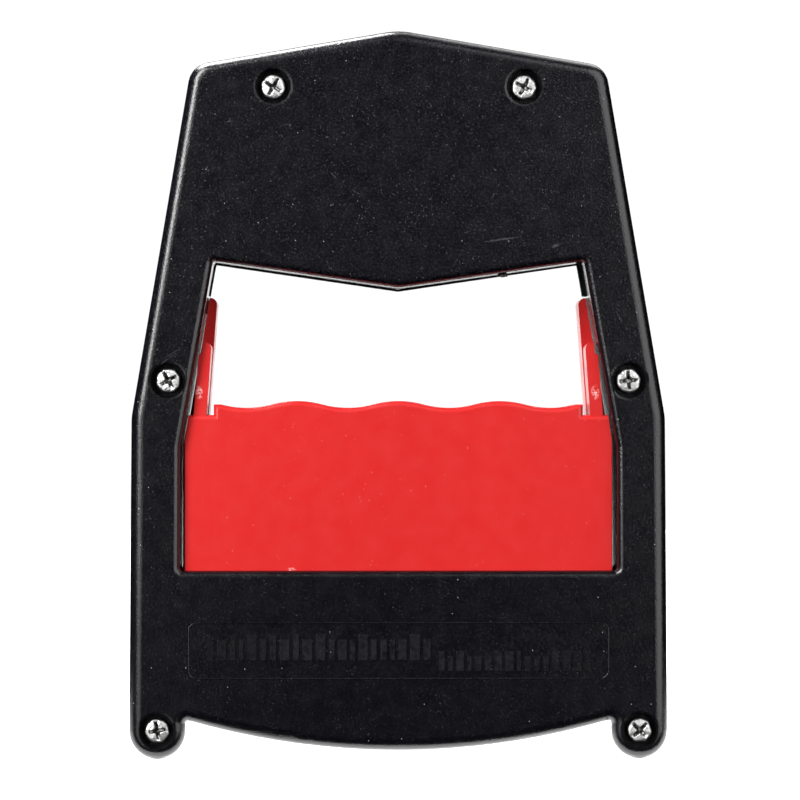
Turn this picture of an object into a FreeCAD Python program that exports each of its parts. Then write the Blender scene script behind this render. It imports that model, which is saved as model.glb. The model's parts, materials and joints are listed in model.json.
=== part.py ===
import FreeCAD, Part
import math
import os
import re
import Sketcher
from FreeCAD import Placement, Rotation, Vector

# Hand dynamometer, millimetres. +Z is up, the parting plane of the case is y = 0, the rear cover
# lies at -Y and the dial faces +Y. The origin is the point on the standing surface below the middle.
# The fingers pull the scalloped handle down against two coil springs; a strap on the handle carries
# a rack up the -X column, and the rack turns the pinion of the drive pointer.

SIZES = {
    # case outline
    "case_depth": 12.5,
    "wall": 2.2,
    "edge_round": 3.0,
    "seam_round": 0.25,
    "apex_height": 171.9,
    "apex_round": 17.0,
    "shoulder_x": 49.0,
    "shoulder_z": 163.5,
    "shoulder_round": 5.5,
    "waist_x": 63.0,
    "waist_z": 80.5,
    "waist_round": 15.0,
    "lobe_radius": 6.65,
    "lobe_outer": 63.5,
    "notch_z": 9.1,
    "notch_round": 0.6,
    "belly_sag": 7.2,
    # finger opening
    "opening_top_x": 43.75,
    "opening_top_z": 117.3,
    "opening_apex_z": 111.0,
    "opening_apex_round": 9.0,
    "opening_knee_x": 51.4,
    "opening_knee_z": 73.5,
    "opening_low_x": 51.5,
    "opening_low_z": 44.3,
    "opening_corner": 0.8,
    "opening_edge_round": 1.7,
    "lip_top": 0.5,
    "lip_left": 0.35,
    "lip_right": 1.0,
    "lip_depth": 1.5,
    "lip_gap": 0.4,
    # case screws
    "top_screw_x": 29.6,
    "top_screw_z": 158.4,
    "side_screw_x": 54.3,
    "side_screw_z": 89.1,
    "lobe_screw_x": 56.85,
    "lobe_screw_z": 6.65,
    "counterbore_radius": 4.2,
    "head_sink": 1.3,
    "head_height": 2.0,
    "head_radius": 2.85,
    "shank_radius": 1.45,
    "shank_reach": 7.0,
    "post_radius": 3.6,
    "cup_radius": 5.8,
    "cup_floor": 1.6,
    "fit_gap": 0.05,
    "press_gap": 0.02,
    "overrun": 1.0,
    # label recess
    "label_half": 49.6,
    "label_low": 18.8,
    "label_high": 32.3,
    "label_depth": 0.3,
    "label_corner": 2.1,
    # handle
    "handle_depth": 9.7,
    "handle_wall": 1.8,
    "handle_half": 50.4,
    "handle_low": 26.0,
    "handle_shoulder": 81.0,
    "handle_shoulder_half": 49.55,
    "handle_knee": 75.0,
    "grip_half": 43.65,
    "grip_middle": 83.5,
    "grip_wave": 0.8,
    "finger_pitch": 24.0,
    "crest_round": 1.2,
    "side_rib": 0.95,
    "side_rib_top": 0.4,
    "side_rib_bend": 73.5,
    "side_rib_depth": 2.5,
    "side_rib_root": 1.0,
    "well_gap": 0.25,
    "rib": 1.5,
    "handle_travel": 11.78,
    "handle_screw_x": 43.0,
    "handle_screw_high": 71.0,
    "handle_screw_low": 34.0,
    "handle_screw_radius": 1.25,
    "handle_screw_reach": 6.0,
    "handle_head_radius": 2.4,
    "handle_head_height": 1.3,
    "handle_head_sink": 1.6,
    "handle_post_radius": 3.0,
    # guide prongs
    "prong_depth": 9.3,
    "prong_root": 79.0,
    "prong_gap": 0.3,
    "prong_tip_round": 1.6,
    "near_root_outer": 48.55,
    "near_root_inner": 45.5,
    "near_step": 95.2,
    "near_step_outer": 47.2,
    "near_step_inner": 46.45,
    "near_step_rise": 0.4,
    "near_top": 98.2,
    "near_top_outer": 46.25,
    "near_top_inner": 44.1,
    "tall_root_outer": 50.0,
    "tall_root_inner": 45.35,
    "tall_top": 109.0,
    "tall_top_outer": 44.95,
    "tall_top_inner": 43.1,
    # core bar, springs and their guides
    "core_half": 46.0,
    "core_low": 68.0,
    "core_high": 74.0,
    "core_depth": 4.0,
    "spring_x": 30.0,
    "spring_radius": 7.0,
    "spring_wire": 1.5,
    "spring_turns": 11.0,
    "seat_low": 8.6,
    "seat_high": 10.6,
    "seat_radius": 8.0,
    "spigot_radius": 3.65,
    "spigot_high": 26.0,
    "rod_radius": 2.5,
    "rod_low": 22.5,
    "rod_high": 72.5,
    "rod_gap": 0.1,
    "rod_chamfer": 0.6,
    "seat_floor": 1.0,
    "cup_low": 64.8,
    "cup_seat": 66.4,
    "cup_outer": 7.7,
    "cup_gap": 0.1,
    # strap and rack
    "strap_back": 1.6,
    "strap_front": 2.6,
    "strap_low": 105.2,
    "strap_tab": 3.2,
    "strap_foot": 43.7,
    "strap_inner": 4.7,
    "strap_slit": 47.0,
    "slot_gap": 0.4,
    "strap_outer_low": 54.6,
    "strap_outer_high": 49.0,
    "strap_width": 3.0,
    "strap_high": 148.0,
    "strap_arm": 4.0,
    "pin_x": 44.4,
    "pin_radius": 0.5,
    "pin_back": 0.8,
    "pin_front": 4.0,
    "rack_front": 4.2,
    "rack_side": 9.2,
    "rack_low": 127.2,
    "gear_module": 0.5,
    "gear_teeth": 15.0,
    "gear_addendum": 0.4,
    "gear_dedendum": 0.65,
    "tooth_half": 0.3,
    "tooth_flare": 0.24,
    "tooth_taper": 0.15,
    "tooth_sunk": 0.3,
    "pinion_back": 2.8,
    "rivet_radius": 0.6,
    "rivet_x": 7.4,
    "rivet_drop": 5.0,
    "rivet_head_radius": 1.1,
    "rivet_head": 0.4,
    # dial movement
    "pivot_z": 133.0,
    "plate_back": -1.0,
    "plate_front": 0.2,
    "plate_half": 24.0,
    "plate_low": 118.2,
    "plate_high": 156.0,
    "plate_corner": 2.0,
    "guide_width": 2.4,
    "guide_gap": 0.2,
    "guide_drop": 11.0,
    "guide_top": 1.4,
    "guide_corner": 0.8,
    "pillar_x": 20.0,
    "pillar_high": 152.5,
    "pillar_low": 121.0,
    "pillar_radius": 2.2,
    "arbor_radius": 0.8,
    "bush_radius": 2.0,
    "flange_rim": 1.0,
    "flange_thick": 0.6,
    "arbor_end": 0.3,
    "hub_radius": 2.2,
    "hub_gap": 0.2,
    "small_shank": 1.0,
    "movement_screw_reach": 3.5,
    "movement_head_radius": 1.9,
    "movement_head_height": 1.2,
    "dial_back": 5.3,
    "dial_front": 6.1,
    "dial_radius": 34.5,
    "dial_drop": 8.0,
    "dial_screw_reach": 9.4,
    "dial_head_radius": 2.2,
    "dial_head_height": 1.3,
    "dial_post_gap": 0.4,
    "ear_radius": 3.4,
    "low_ear_x": 42.0,
    "low_ear_z": 128.0,
    "high_ear_x": 35.0,
    "high_ear_z": 152.0,
    "pointer_back": 6.9,
    "pointer_front": 7.4,
    "pointer_reach": 27.0,
    "pointer_root": 1.5,
    "pointer_tip": 0.28,
    "pointer_eye": 2.6,
    "pointer_tail": 7.0,
    "pointer_tail_half": 1.0,
    "peak_back": 8.0,
    "peak_front": 8.5,
    "peak_reach": 26.0,
    # window and reset knob
    "lens_back": 9.0,
    "lens_flange": 35.2,
    "lens_lip": 2.2,
    "window_radius": 33.2,
    "window_drop": 8.8,
    "window_corner": 3.0,
    "bezel_width": 1.9,
    "lens_hole": 2.5,
    "stem_radius": 1.5,
    "stem_step": 0.5,
    "stem_end": 0.35,
    "washer_radius": 4.4,
    "washer_thick": 0.35,
    "clip_radius": 2.0,
    "clip_thick": 0.3,
    "knob_back": 10.9,
    "knob_front": 12.4,
    "knob_radius": 6.0,
    "knob_ribs": 26.0,
    "knob_rib_rise": 0.35,
    "knob_rib_sunk": 0.5,
    "knob_rib_root": 0.3,
    "knob_rib_tip": 0.15,
}

CASE_SCREWS = (("top_screw_x", "top_screw_z"), ("side_screw_x", "side_screw_z"),
               ("lobe_screw_x", "lobe_screw_z"))
DIAL_SCREWS = (("low_ear_x", "low_ear_z"), ("high_ear_x", "high_ear_z"))
HANDLE_SCREWS = tuple((x, z) for z in ("handle_screw_high", "handle_screw_low")
                      for x in ("-handle_screw_x", "0", "handle_screw_x"))
PILLARS = tuple((x, z) for z in ("pillar_low", "pillar_high") for x in ("-pillar_x", "pillar_x"))
SEAT_DEPTH = "case_depth - head_sink - head_height"
RIVET_HEIGHTS = ("pivot_z", "strap_high - rivet_drop")
RACK_STEPS = range(-1, 10)
LENS_FRONT = "case_depth - wall"
HEAD_EDGE = 0.55
HEAD_CROWN = 0.6
IN_PLANE = 0.01
MARGIN = 0.5
FAR = 1000.0
PITCH = "gear_module * pi"
PITCH_RADIUS = "gear_module * gear_teeth / 2"

doc = FreeCAD.newDocument("hand_dynamometer")
sheet = doc.addObject("Spreadsheet::Sheet", "sizes")
for row, (alias, length) in enumerate(SIZES.items(), start=1):
    sheet.set(f"A{row}", alias)
    sheet.set(f"B{row}", str(length))
    sheet.setAlias(f"B{row}", alias)
doc.recompute()

nodes = []


# ---- expressions, placement and booleans ----

def bound(text):
    """The text as an expression on the sheet's aliases."""
    def owner(word):
        return "sizes." + word.group() if word.group() in SIZES else word.group()
    return re.sub(r"[a-z][a-z0-9_]*", owner, str(text))


def number(text):
    return float(sheet.evalExpression(bound(text)))


def minus(text):
    return f"-({text})"


def bind(thing, prop, text):
    thing.setExpression(prop, bound(text))


def place(thing, x="0", y="0", z="0"):
    for axis, text in zip("xyz", (x, y, z)):
        if text != "0":
            bind(thing, "Placement.Base." + axis, text)
    return thing


def box(name, x, y, z):
    """A box from three (low, high) pairs."""
    block = doc.addObject("Part::Box", name)
    for prop, (low, high) in zip(("Length", "Width", "Height"), (x, y, z)):
        bind(block, prop, f"({high}) - ({low})")
    return place(block, x[0], y[0], z[0])


def rod(name, radius, x, z, y):
    """A cylinder along Y between the two y values."""
    bar = doc.addObject("Part::Cylinder", name)
    bind(bar, "Radius", radius)
    bind(bar, "Height", f"({y[1]}) - ({y[0]})")
    bar.Placement = Placement(Vector(), Rotation(Vector(1, 0, 0), -90))
    return place(bar, x, y[0], z)


def post(name, radius, x, z):
    """A cylinder along Z between the two z values, in the parting plane."""
    bar = doc.addObject("Part::Cylinder", name)
    bind(bar, "Radius", radius)
    bind(bar, "Height", f"({z[1]}) - ({z[0]})")
    return place(bar, x, "0", z[0])


def fuse(name, *parts):
    whole = doc.addObject("Part::MultiFuse", name)
    whole.Shapes = list(parts)
    return whole


def cut(name, base, *tools):
    rest = doc.addObject("Part::Cut", name)
    rest.Base = base
    rest.Tool = tools[0] if len(tools) == 1 else fuse(name + "_tools", *tools)
    return rest


def common(name, first, second):
    shared = doc.addObject("Part::Common", name)
    shared.Base = first
    shared.Tool = second
    return shared


def group(name, parts):
    """Identical pieces as one node of separate solids."""
    compound = doc.addObject("Part::Compound", name)
    compound.Links = list(parts)
    return compound


def keep(thing, label):
    thing.Label = label
    nodes.append(thing)
    return thing


# ---- sketches ----

def arc(radius, turn=-1):
    """A round stretch between two corners; turn is -1 where the path bends clockwise."""
    return ("arc", radius, turn)


def mirrored(path):
    return [step if step[0] == "arc" else (minus(step[0]), step[1]) for step in reversed(path)]


def arc_middle(start, end, radius, turn):
    chord = end - start
    rise = radius - math.sqrt(radius ** 2 - (chord.Length / 2) ** 2)
    outward = Vector(chord.y, -chord.x, 0).normalize() * turn
    return (start + end) / 2 + outward * rise


def draw(sketch, path, first=0):
    """A closed outline through (x, y) corners, fully constrained to the sheet."""
    corners = [step for step in path if step[0] != "arc"]
    following = path[1:] + path[:1]
    links = [nxt for step, nxt in zip(path, following) if step[0] != "arc"]
    spots = [Vector(number(x), number(y), 0) for x, y in corners]
    ends = []
    for index, link in enumerate(links):
        start = spots[index]
        end = spots[(index + 1) % len(spots)]
        if link[0] != "arc":
            sketch.addGeometry(Part.LineSegment(start, end), False)
            ends.append((1, 2))
            continue
        middle = arc_middle(start, end, number(link[1]), link[2])
        if link[2] < 0:
            sketch.addGeometry(Part.Arc(end, middle, start), False)
            ends.append((2, 1))
        else:
            sketch.addGeometry(Part.Arc(start, middle, end), False)
            ends.append((1, 2))
    for index, (corner, link) in enumerate(zip(corners, links)):
        piece = first + index
        after = first + (index + 1) % len(corners)
        sketch.addConstraint(Sketcher.Constraint(
            "Coincident", piece, ends[index][1], after, ends[(index + 1) % len(corners)][0]))
        for kind, axis, text in zip(("DistanceX", "DistanceY"), (-2, -1), corner):
            if number(text) == 0:
                sketch.addConstraint(Sketcher.Constraint("PointOnObject", piece, ends[index][0], axis))
                continue
            place_of = sketch.addConstraint(Sketcher.Constraint(
                kind, -1, 1, piece, ends[index][0], number(text)))
            bind(sketch, f"Constraints[{place_of}]", text)
        if link[0] == "arc":
            size = sketch.addConstraint(Sketcher.Constraint("Radius", piece, number(link[1])))
            bind(sketch, f"Constraints[{size}]", link[1])


def outline(name, path):
    """A sketch in the parting plane, its own x along X and its own y along Z."""
    sketch = doc.addObject("Sketcher::SketchObject", name)
    sketch.Placement = Placement(Vector(), Rotation(Vector(1, 0, 0), 90))
    draw(sketch, path)
    return sketch


def offset(name, sketch, distance):
    wider = doc.addObject("Part::Offset2D", name)
    wider.Source = sketch
    wider.Join = "Intersection"
    bind(wider, "Value", distance)
    return wider


def slab(name, sketch, y):
    """The outline extruded along Y between the two y values."""
    solid = doc.addObject("Part::Extrusion", name)
    solid.Base = sketch
    solid.DirMode = "Custom"
    solid.Dir = Vector(0, 1, 0)
    solid.Solid = True
    bind(solid, "LengthFwd", y[1])
    bind(solid, "LengthRev", minus(y[0]))
    return solid


# ---- rounded edges ----

def edge_at(shape, x, z):
    """The number of the straight edge along Y that is nearest to (x, z)."""
    nearest = []
    for index, edge in enumerate(shape.Edges, start=1):
        low, high = edge.BoundBox.XMin, edge.BoundBox.XMax
        if high - low > IN_PLANE or edge.BoundBox.ZLength > IN_PLANE:
            continue
        nearest.append((math.hypot(low - x, edge.BoundBox.ZMin - z), index))
    return min(nearest)[1]


def round_corners(name, base, corners):
    """Rounds the edges along Y nearest to each (x, z, radius)."""
    doc.recompute()
    smooth = doc.addObject("Part::Fillet", name)
    smooth.Base = base
    smooth.Edges = [(edge_at(base.Shape, number(x), number(z)), number(radius), number(radius))
                    for x, z, radius in corners]
    return smooth


def round_rim(name, base, y, radius, x_limit=FAR, z_limits=(-FAR, FAR)):
    """Rounds every edge that lies in the plane y, inside the given half width and heights."""
    doc.recompute()
    rim = []
    for index, edge in enumerate(base.Shape.Edges, start=1):
        span = edge.BoundBox
        flat = span.YLength < IN_PLANE and abs(span.YMin - number(y)) < IN_PLANE
        inside = span.XMax < x_limit and span.XMin > -x_limit
        if flat and inside and span.ZMin > z_limits[0] and span.ZMax < z_limits[1]:
            rim.append((index, number(radius), number(radius)))
    smooth = doc.addObject("Part::Fillet", name)
    smooth.Base = base
    smooth.Edges = rim
    return smooth


def both_sides(corners):
    return [side for x, z, radius in corners for side in ((x, z, radius), (minus(x), z, radius))]


# ---- bodies with their own sketches ----

def body_sketch(body, name, plane, away="0"):
    sketch = body.newObject("Sketcher::SketchObject", name)
    base = [part for part in body.Origin.OriginFeatures if part.Role == plane]
    sketch.AttachmentSupport = [(base[0], "")]
    sketch.MapMode = "FlatFace"
    if away != "0":
        bind(sketch, "AttachmentOffset.Base.z", away)
    return sketch


def turned(name, profile, plane="XY_Plane", x="0", z="0"):
    """A body of revolution; XY_Plane turns (radius, y) about Y, XZ_Plane turns (radius, z) about Z."""
    body = doc.addObject("PartDesign::Body", name)
    sketch = body_sketch(body, name + "_profile", plane)
    draw(sketch, profile)
    spin = body.newObject("PartDesign::Revolution", name + "_turned")
    spin.Profile = sketch
    spin.ReferenceAxis = (sketch, ["V_Axis"])
    spin.Angle = 360
    return place(body, x, "0", z)


def ribbed_disc(name, disc, tooth, count, y, z):
    """A disc with evenly spaced teeth, the first one on +X."""
    body = doc.addObject("PartDesign::Body", name)
    round_sketch = body_sketch(body, name + "_disc", "XZ_Plane", minus(y[0]))
    round_sketch.addGeometry(Part.Circle(Vector(), Vector(0, 0, 1), number(disc)), False)
    round_sketch.addConstraint(Sketcher.Constraint("Coincident", 0, 3, -1, 1))
    size = round_sketch.addConstraint(Sketcher.Constraint("Radius", 0, number(disc)))
    bind(round_sketch, f"Constraints[{size}]", disc)
    tooth_sketch = body_sketch(body, name + "_tooth", "XZ_Plane", minus(y[0]))
    draw(tooth_sketch, tooth)
    pads = []
    for label, sketch in (("wheel", round_sketch), ("tooth", tooth_sketch)):
        pad = body.newObject("PartDesign::Pad", f"{name}_{label}_pad")
        pad.Profile = sketch
        pad.Reversed = True
        bind(pad, "Length", f"({y[1]}) - ({y[0]})")
        pads.append(pad)
    doc.recompute()
    ring = body.newObject("PartDesign::PolarPattern", name + "_ring")
    ring.Originals = [pads[1]]
    ring.Axis = (round_sketch, ["N_Axis"])
    ring.Angle = 360
    bind(ring, "Occurrences", count)
    body.Tip = ring
    return place(body, "0", "0", z)


# ---- case ----

def case_outline():
    right = [
        ("shoulder_x", "shoulder_z"),
        ("waist_x", "waist_z"),
        ("lobe_outer", "lobe_radius"),
        arc("lobe_radius"),
        ("lobe_outer - lobe_radius", "0"),
        arc("lobe_radius"),
        ("lobe_outer - 2 * lobe_radius", "lobe_radius"),
        ("lobe_outer - 2 * lobe_radius", "notch_z"),
    ]
    belly = "((lobe_outer - 2 * lobe_radius)^2 + belly_sag^2) / (2 * belly_sag)"
    return outline("case_outline", [("0", "apex_height")] + right + [arc(belly)] + mirrored(right))


def opening_outline():
    right = [
        ("opening_top_x", "opening_top_z"),
        ("opening_knee_x", "opening_knee_z"),
        ("opening_low_x", "opening_low_z"),
    ]
    return outline("opening_outline", [("0", "opening_apex_z")] + right + mirrored(right))


def lip():
    """The lip of the front cover that stands into the opening above the prongs, at the parting plane."""
    inner = outline("lip_outline", [
        ("0", "opening_apex_z - lip_top"),
        ("opening_top_x - lip_right", "opening_top_z - lip_top"),
        ("opening_knee_x - lip_right", "opening_knee_z"),
        ("lip_left - opening_knee_x", "opening_knee_z"),
        ("lip_left - opening_top_x", "opening_top_z - lip_top"),
    ])
    depth = ("0", "lip_depth")
    below = box("lip_below", ("-opening_low_x - overrun", "opening_low_x + overrun"), depth,
                ("opening_low_z - overrun", "tall_top + lip_gap"))
    return cut("lip", slab("lip_slab", OPENING_OUTLINE, depth), slab("lip_hole", inner, depth), below)


CASE_OUTLINE = case_outline()
OPENING_OUTLINE = opening_outline()
CAVITY_OUTLINE = offset("cavity_outline", CASE_OUTLINE, "-wall")
OPENING_WALL = offset("opening_wall", OPENING_OUTLINE, "wall")


def case_corners(inset):
    sides = both_sides([
        ("shoulder_x", "shoulder_z", f"shoulder_round - {inset}"),
        ("waist_x", "waist_z", f"waist_round - {inset}"),
    ])
    return sides + [("0", "apex_height", f"apex_round - {inset}")]


def case_block(name, side, face):
    """The solid half of the case with its rounded rim and the rounded opening."""
    slab_y = ("-case_depth", "0") if side < 0 else ("0", "case_depth")
    notches = both_sides([("lobe_outer - 2 * lobe_radius", "notch_z", "notch_round")])
    block = round_corners(name + "_block", slab(name + "_slab", CASE_OUTLINE, slab_y),
                          case_corners("0") + notches)
    block = round_rim(name + "_rim", block, face, "edge_round")
    block = round_rim(name + "_seam", block, "0", "seam_round")
    hole = round_corners(name + "_hole", slab(name + "_opening", OPENING_OUTLINE, slab_y), both_sides([
        ("opening_top_x", "opening_top_z", "opening_corner"),
        ("opening_low_x", "opening_low_z", "opening_corner"),
    ]) + [("0", "opening_apex_z", "opening_apex_round")])
    if side > 0:
        hole = cut(name + "_lipped_hole", hole, lip())
    pierced = cut(name + "_pierced", block, hole)
    return round_rim(name + "_frame", pierced, face, "opening_edge_round",
                     number("opening_low_x") + MARGIN,
                     (number("opening_low_z") - MARGIN, number("opening_top_z") + MARGIN))


def mirrored_pairs(places):
    return [side for x, z in places for side in ((x, z), (minus(x), z))]


def case_half(name, side):
    """One cover: the block hollowed by a cavity that leaves the walls, posts and ledges standing."""
    def span(near, far):
        low, high = (near, far) if side > 0 else (minus(far), minus(near))
        return (low, high)

    face = "case_depth" if side > 0 else "-case_depth"
    block = case_block(name, side, face)
    inside = span("0", "case_depth - wall")
    hollow = round_corners(name + "_hollow", slab(name + "_inner", CAVITY_OUTLINE, inside),
                           case_corners("wall"))
    standing = [slab(name + "_collar", OPENING_WALL, inside)]
    for index, (x, z) in enumerate(mirrored_pairs(CASE_SCREWS)):
        standing.append(rod(f"{name}_post_{index}", "post_radius", x, z, inside))
        if side < 0:
            cup = span(f"{SEAT_DEPTH} - cup_floor", "case_depth - wall")
            standing.append(rod(f"{name}_cup_{index}", "cup_radius", x, z, cup))
    for x in ("spring_x", "-spring_x"):
        standing.append(box(name + "_ledge", (f"{x} - seat_radius", f"{x} + seat_radius"), inside,
                            ("0", "seat_low")))
    guide = "handle_half + side_rib + well_gap"
    for low, high in ((guide, f"{guide} + rib"), (minus(f"{guide} + rib"), minus(guide))):
        standing.append(box(name + "_guide", (low, high), inside, ("seat_high", "opening_low_z")))
    if side > 0:
        for index, (x, z) in enumerate(mirrored_pairs(DIAL_SCREWS)):
            standing.append(rod(f"{name}_dial_post_{index}", "ear_radius - dial_post_gap", x, z,
                                ("dial_front", "case_depth - wall")))
    shell = cut(name + "_shell", block, cut(name + "_cavity", hollow, *standing))
    tools = [box(name + "_well", ("-opening_low_x", "opening_low_x"), inside,
                 ("opening_low_z - wall - overrun", "opening_low_z + overrun"))]
    for index, (x, z) in enumerate(mirrored_pairs(CASE_SCREWS)):
        if side < 0:
            tools.append(rod(f"{name}_bore_{index}", "shank_radius + fit_gap", x, z,
                             ("-case_depth", "0")))
            tools.append(rod(f"{name}_sink_{index}", "counterbore_radius", x, z,
                             ("-case_depth - overrun", minus(SEAT_DEPTH))))
        else:
            tools.append(rod(f"{name}_bore_{index}", "shank_radius + fit_gap", x, z,
                             ("0", "shank_reach + overrun / 2")))
    return shell, tools


def rear_cover():
    shell, tools = case_half("rear", -1)
    plate = box("label_box", ("-label_half", "label_half"),
                ("-case_depth - overrun", "label_depth - case_depth"), ("label_low", "label_high"))
    recess = round_corners("label_recess", plate, both_sides([
        ("label_half", "label_low", "label_corner"), ("label_half", "label_high", "label_corner")]))
    keep(cut("rear_half", shell, recess, *tools), "rear_cover")


def half_disc(name, radius, drop, y, corner):
    """A disc about the dial's pivot, cut off level below it, with its two corners rounded."""
    disc = rod(name + "_disc", radius, "0", "pivot_z", y)
    keep_box = box(name + "_cut", (minus(radius), radius), y,
                   (f"pivot_z - ({drop})", f"pivot_z + {radius}"))
    flat = common(name + "_flat", disc, keep_box)
    width = f"sqrt(({radius})^2 - ({drop})^2)"
    return round_corners(name, flat, both_sides([(width, f"pivot_z - ({drop})", corner)]))


def front_cover():
    shell, tools = case_half("front", 1)
    tools.append(half_disc("window_hole", "window_radius", "window_drop",
                           (f"{LENS_FRONT} - overrun", "case_depth + overrun"), "window_corner"))
    for index, (x, z) in enumerate(mirrored_pairs(DIAL_SCREWS)):
        tools.append(rod(f"dial_bore_{index}", "small_shank + fit_gap", x, z,
                         ("dial_front", "dial_screw_reach + slot_gap")))
    slot_low = "strap_low - handle_travel - slot_gap"
    tools.append(box("strap_slot", ("-opening_knee_x - wall", "-strap_foot"),
                     ("strap_back - slot_gap", "strap_front + slot_gap"),
                     (slot_low, "strap_low + strap_tab + slot_gap")))
    keep(cut("front_half", shell, *tools), "front_cover")


def screw(name, x, z, seat, tip, head, height, shank):
    """A pan-head screw along Y; its head stands off the seat, away from the tip."""
    out = "+" if number(seat) > number(tip) else "-"
    body = turned(name, [
        ("0", tip),
        (shank, tip),
        (shank, seat),
        (head, seat),
        (head, f"{seat} {out} {height} * {HEAD_EDGE}"),
        (f"{head} * {HEAD_CROWN}", f"{seat} {out} {height}"),
        ("0", f"{seat} {out} {height}"),
    ], x=x, z=z)
    return body


def case_screws():
    screws = [screw(f"case_screw_{index}", x, z, minus(SEAT_DEPTH), "shank_reach",
                    "head_radius", "head_height", "shank_radius")
              for index, (x, z) in enumerate(mirrored_pairs(CASE_SCREWS))]
    keep(group("case_screw_set", screws), "case_screws")


# ---- handle ----

def handle_outline():
    """Four finger hollows, as equal arcs that meet halfway up the wave."""
    radius = "((finger_pitch / 4)^2 + grip_wave^2) / (2 * grip_wave)"
    path = [("finger_pitch / 4", "grip_middle")]
    for quarter, turn in ((3, 1), (5, -1), (7, 1)):
        path += [arc(radius, turn), (f"finger_pitch * {quarter} / 4", "grip_middle")]
    path += [
        ("grip_half", "grip_middle"),
        ("grip_half", "handle_shoulder"),
        ("handle_shoulder_half", "handle_shoulder"),
        ("handle_half", "handle_knee"),
        ("handle_half", "handle_low"),
    ]
    return outline("handle_outline", path + mirrored(path) + [arc(radius)])


HANDLE_OUTLINE = handle_outline()


def near_prong(side):
    """A short rear prong: it leans in with the opening's wall and steps in near its top."""
    path = [("near_root_outer", "prong_root"), ("near_root_inner", "prong_root"),
            ("near_top_inner", "near_top"), ("near_top_outer", "near_top"),
            ("near_step_inner", "near_step + near_step_rise"), ("near_step_outer", "near_step")]
    if side < 0:
        path = mirrored(path)
    solid = slab(f"near_prong_{side}", outline(f"near_prong_outline_{side}", path),
                 ("-prong_depth", "-prong_gap"))
    inner = "near_top_inner" if side > 0 else "-near_top_inner"
    return round_corners(f"near_prong_round_{side}", solid, [(inner, "near_top", "prong_tip_round")])


def tall_prong(side):
    """A tall front prong that fills the room up to the opening's wall."""
    path = [("tall_root_outer", "prong_root"), ("tall_root_inner", "prong_root"),
            ("tall_top_inner", "tall_top"), ("tall_top_outer", "tall_top")]
    if side < 0:
        path = mirrored(path)
    solid = slab(f"tall_prong_{side}", outline(f"tall_prong_outline_{side}", path),
                 ("0", "prong_depth"))
    inner = "tall_top_inner" if side > 0 else "-tall_top_inner"
    return round_corners(f"tall_prong_round_{side}", solid, [(inner, "tall_top", "prong_tip_round")])


def side_rib(side):
    """A low rib along the handle's side that closes most of the gap to the opening's wall."""
    path = [("handle_half - side_rib_root", "handle_low"),
            ("handle_half + side_rib", "handle_low"),
            ("handle_half + side_rib", "side_rib_bend"),
            ("handle_shoulder_half + side_rib_top", "handle_shoulder"),
            ("handle_shoulder_half - side_rib_root", "handle_shoulder")]
    if side < 0:
        path = mirrored(path)
    return slab(f"side_rib_{side}", outline(f"side_rib_outline_{side}", path),
                ("0", "side_rib_depth"))


def handle_shell(name, side, added):
    face = "handle_depth" if side > 0 else "-handle_depth"
    depth = ("0", face) if side > 0 else (face, "0")
    inner = "handle_depth - handle_wall"
    hollow = ("0", inner) if side > 0 else (minus(inner), "0")
    block = round_rim(name + "_crest", slab(name + "_slab", HANDLE_OUTLINE, depth), face,
                      "crest_round", FAR, (number("handle_shoulder") - MARGIN, FAR))
    inside = "handle_half - handle_wall"
    room = box(name + "_room", (minus(inside), inside), hollow, ("handle_low", "core_high"))
    posts = [rod(f"{name}_post_{index}", "handle_post_radius", x, z, hollow)
             for index, (x, z) in enumerate(HANDLE_SCREWS) if z == "handle_screw_low"]
    shell = cut(name + "_hollow", block, cut(name + "_cavity", room, *posts))
    whole = fuse(name + "_whole", shell, *added)
    if side > 0:
        return whole, (("0", "handle_depth"),
                       ("handle_depth - handle_head_sink", "handle_depth + overrun"))
    return whole, (("-handle_screw_reach - overrun / 2", "0"), None)


def handle():
    shells = {}
    for name, side, prong in (("handle_rear", -1, near_prong), ("handle_front", 1, tall_prong)):
        added = [prong(1), prong(-1)]
        if side > 0:
            added += [side_rib(1), side_rib(-1)]
        whole, (bore, sink) = handle_shell(name, side, added)
        tools = [rod(f"{name}_bore_{index}", "handle_screw_radius + fit_gap", x, z, bore)
                 for index, (x, z) in enumerate(HANDLE_SCREWS)]
        if sink:
            tools += [rod(f"{name}_sink_{index}", "handle_head_radius + 2 * fit_gap", x, z, sink)
                      for index, (x, z) in enumerate(HANDLE_SCREWS)]
            tools.append(box("strap_slit", ("-strap_slit", "-strap_foot"),
                             ("strap_back - fit_gap", "strap_front + fit_gap"),
                             ("strap_low - fit_gap", "strap_low + strap_tab + fit_gap")))
            tools.append(rod("pin_hole", "pin_radius + press_gap", "-pin_x",
                             "strap_low + strap_tab / 2", ("pin_back - fit_gap", "prong_depth")))
        shells[name] = cut(name + "_bored", whole, *tools)
    keep(shells["handle_rear"], "handle_rear_shell")
    keep(shells["handle_front"], "handle_front_shell")


def handle_screws():
    screws = [screw(f"handle_screw_{index}", x, z, "handle_depth - handle_head_sink",
                    "-handle_screw_reach", "handle_head_radius", "handle_head_height",
                    "handle_screw_radius")
              for index, (x, z) in enumerate(HANDLE_SCREWS)]
    keep(group("handle_screw_set", screws), "handle_screws")


def handle_core():
    bar = box("core_bar", ("-core_half", "core_half"), ("-core_depth", "core_depth"),
              ("core_low", "core_high - fit_gap"))
    holes = [rod(f"core_hole_{index}", "handle_screw_radius + fit_gap", x, z,
                 ("-core_depth", "core_depth"))
             for index, (x, z) in enumerate(HANDLE_SCREWS) if z == "handle_screw_high"]
    holes += [post("core_rod_hole", "rod_radius + fit_gap", x, ("core_low", "rod_high + fit_gap"))
              for x in ("spring_x", "-spring_x")]
    keep(cut("core", bar, *holes), "handle_core_bar")


# ---- springs and their guides ----

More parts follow.
